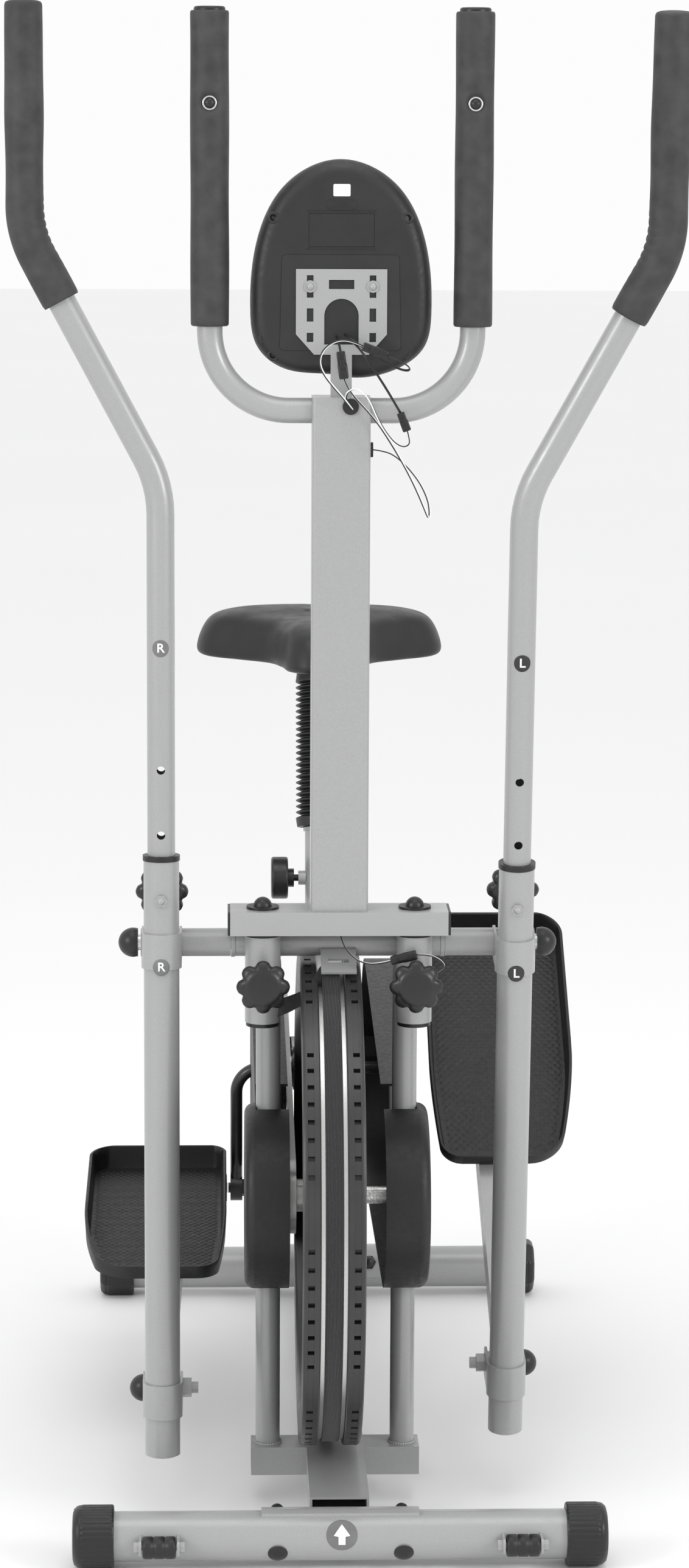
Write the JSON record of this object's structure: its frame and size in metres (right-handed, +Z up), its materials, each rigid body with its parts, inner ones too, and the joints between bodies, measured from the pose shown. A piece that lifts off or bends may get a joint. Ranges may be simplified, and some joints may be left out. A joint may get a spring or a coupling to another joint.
{
  "type": "elliptical trainer",
  "caption": "Upright trainer with a belt-braked front flywheel, swinging arms and foot bars, a fixed handlebar with a display, and a height-adjustable seat.",
  "frame": {"origin": "middle of the object's box, on the floor", "axes": "+Z up, +X the rider's left, +Y from the flywheel end to the seat end"},
  "size_m": [0.663, 1.0866, 1.548],
  "materials": {
    "grey_paint": "satin silver-grey powder coat",
    "wheel_paint": "satin dark grey paint",
    "black_steel": "black enamel",
    "bright_steel": "bare steel",
    "zinc": "bright zinc plate",
    "black_plastic": "fine moulded grain",
    "console_black": "fine moulded grain",
    "console_grey": "smooth light grey",
    "screen": "display glass",
    "foam": "closed-cell foam",
    "seat_cover": "grained vinyl",
    "boot_rubber": "folded rubber",
    "belt_web": "woven webbing",
    "pedal_plastic": "moulded, dimpled",
    "lead_pvc": "twin black and white",
    "cover_plastic": "satin moulded"
  },
  "bodies": {
    "frame": {"front_stabiliser": "grey_paint", "rear_stabiliser": "grey_paint", "stabiliser_end_caps": "black_plastic", "main_beam": "grey_paint", "frame_bolts": "black_plastic", "front_fork": "grey_paint", "cross_tube": "grey_paint", "frame_axles": "zinc", "end_plugs": "black_plastic", "console_post": "grey_paint", "fixed_handlebar": "grey_paint", "fixed_grips": "foam", "console_bracket": "grey_paint", "console_back": "console_black", "console_face": "console_grey", "console_screen": "screen", "seat_tube": "grey_paint", "seat_boot": "boot_rubber", "bottom_bracket": "black_steel", "chain": "bright_steel", "left_chain_cover": "cover_plastic", "right_chain_cover": "cover_plastic", "brake_belt": "belt_web", "belt_spring": "zinc", "lead_plugs": "black_plastic", "grommet_lead": "lead_pvc", "console_lead": "lead_pvc", "pulse_lead": "lead_pvc", "pulse_tail": "lead_pvc", "sensor_top_lead": "lead_pvc", "loop_lead": "lead_pvc", "sensor_lead": "lead_pvc", "sensor_tail": "lead_pvc"},
    "flywheel": {"flywheel_shell": "wheel_paint", "flywheel_band": "bright_steel", "flywheel_hub": "bright_steel"},
    "crankset": {"crank": "black_steel"},
    "seat": {"seat_post": "bright_steel", "seat_cushion": "seat_cover"},
    "seat_clamp": {"seat_knob": "black_plastic"},
    "battery_lid": {"battery_door": "console_black"},
    "console_key": {"mode_button": "black_plastic"},
    "right_arm": {"right_lower_arm": "grey_paint", "right_arm_collar": "black_plastic"},
    "right_handle": {"right_upper_arm": "grey_paint", "right_arm_grip": "foam"},
    "right_arm_clamp": {"right_arm_knob": "black_plastic"},
    "right_foot": {"right_foot_bar": "grey_paint", "right_pedal": "pedal_plastic"},
    "right_front_wheel": {"right_roller": "black_plastic"},
    "right_post_clamp": {"right_post_knob": "black_plastic"},
    "left_arm": {"left_lower_arm": "grey_paint", "left_arm_collar": "black_plastic"},
    "left_handle": {"left_upper_arm": "grey_paint", "left_arm_grip": "foam"},
    "left_arm_clamp": {"left_arm_knob": "black_plastic"},
    "left_foot": {"left_foot_bar": "grey_paint", "left_pedal": "pedal_plastic"},
    "left_front_wheel": {"left_roller": "black_plastic"},
    "left_post_clamp": {"left_post_knob": "black_plastic"}
  },
  "joints": [
    {"name": "crank_spin", "type": "hinge", "parent": "frame", "child": "crankset", "pos_m": [0, 0.24259, 0.337], "axis": [1, 0, 0], "continuous": true},
    {"name": "flywheel_spin", "type": "hinge", "parent": "frame", "child": "flywheel", "pos_m": [-0.008, -0.28741, 0.329], "axis": [1, 0, 0], "continuous": true},
    {"name": "right_arm_swing", "type": "hinge", "parent": "frame", "child": "right_arm", "pos_m": [-0.1795, -0.31541, 0.604], "axis": [1, 0, 0], "range_deg": [-12, 20]},
    {"name": "right_foot_pitch", "type": "hinge", "parent": "right_arm", "child": "right_foot", "pos_m": [-0.1795, -0.32904, 0.1352], "axis": [1, 0, 0], "range_deg": [-8, 30]},
    {"name": "right_handle_height", "type": "slide", "parent": "right_arm", "child": "right_handle", "axis": [0, 0.0291, 0.9996], "range_m": [-0.065, 0]},
    {"name": "right_arm_knob_turn", "type": "hinge", "parent": "right_arm", "child": "right_arm_clamp", "pos_m": [-0.1795, -0.34691, 0.65594], "axis": [0, 0.9996, -0.0291], "continuous": true},
    {"name": "right_post_knob_turn", "type": "hinge", "parent": "frame", "child": "right_post_clamp", "pos_m": [-0.077, -0.34841, 0.5735], "axis": [0, 1, 0], "continuous": true},
    {"name": "right_roller_spin", "type": "hinge", "parent": "frame", "child": "right_front_wheel", "pos_m": [-0.181, -0.52541, 0.034], "axis": [1, 0, 0], "continuous": true},
    {"name": "left_arm_swing", "type": "hinge", "parent": "frame", "child": "left_arm", "pos_m": [0.1795, -0.31541, 0.604], "axis": [1, 0, 0], "range_deg": [-20, 12]},
    {"name": "left_foot_pitch", "type": "hinge", "parent": "left_arm", "child": "left_foot", "pos_m": [0.1795, -0.26027, 0.13825], "axis": [1, 0, 0], "range_deg": [-30, 8]},
    {"name": "left_handle_height", "type": "slide", "parent": "left_arm", "child": "left_handle", "axis": [0, -0.1176, 0.9931], "range_m": [-0.065, 0]},
    {"name": "left_arm_knob_turn", "type": "hinge", "parent": "left_arm", "child": "left_arm_clamp", "pos_m": [0.1795, -0.35418, 0.65077], "axis": [0, 0.9931, 0.1176], "continuous": true},
    {"name": "left_post_knob_turn", "type": "hinge", "parent": "frame", "child": "left_post_clamp", "pos_m": [0.077, -0.34841, 0.5735], "axis": [0, 1, 0], "continuous": true},
    {"name": "left_roller_spin", "type": "hinge", "parent": "frame", "child": "left_front_wheel", "pos_m": [0.181, -0.52541, 0.034], "axis": [1, 0, 0], "continuous": true},
    {"name": "seat_height", "type": "slide", "parent": "frame", "child": "seat", "axis": [0, 0.2571, 0.9664], "range_m": [-0.12, 0], "deforming": ["seat_boot"]},
    {"name": "seat_knob_turn", "type": "hinge", "parent": "frame", "child": "seat_clamp", "pos_m": [-0.04, 0.34567, 0.544], "axis": [1, 0, 0], "continuous": true},
    {"name": "battery_lid_swing", "type": "hinge", "parent": "frame", "child": "battery_lid", "pos_m": [0, -0.34691, 1.31], "axis": [1, 0, 0], "range_deg": [0, 95]},
    {"name": "console_key_press", "type": "slide", "parent": "frame", "child": "console_key", "axis": [0, -1, 0], "range_m": [0, 0.0015], "stiffness_N_per_m": 600, "springref_m": -0.0005}
  ],
  "couplings": [
    {"joint": "crank_spin", "follows": "flywheel_spin", "ratio": 0.36364},
    {"joint": "left_arm_swing", "follows": "right_arm_swing", "ratio": -1},
    {"joint": "left_foot_pitch", "follows": "right_foot_pitch", "ratio": -1}
  ]
}
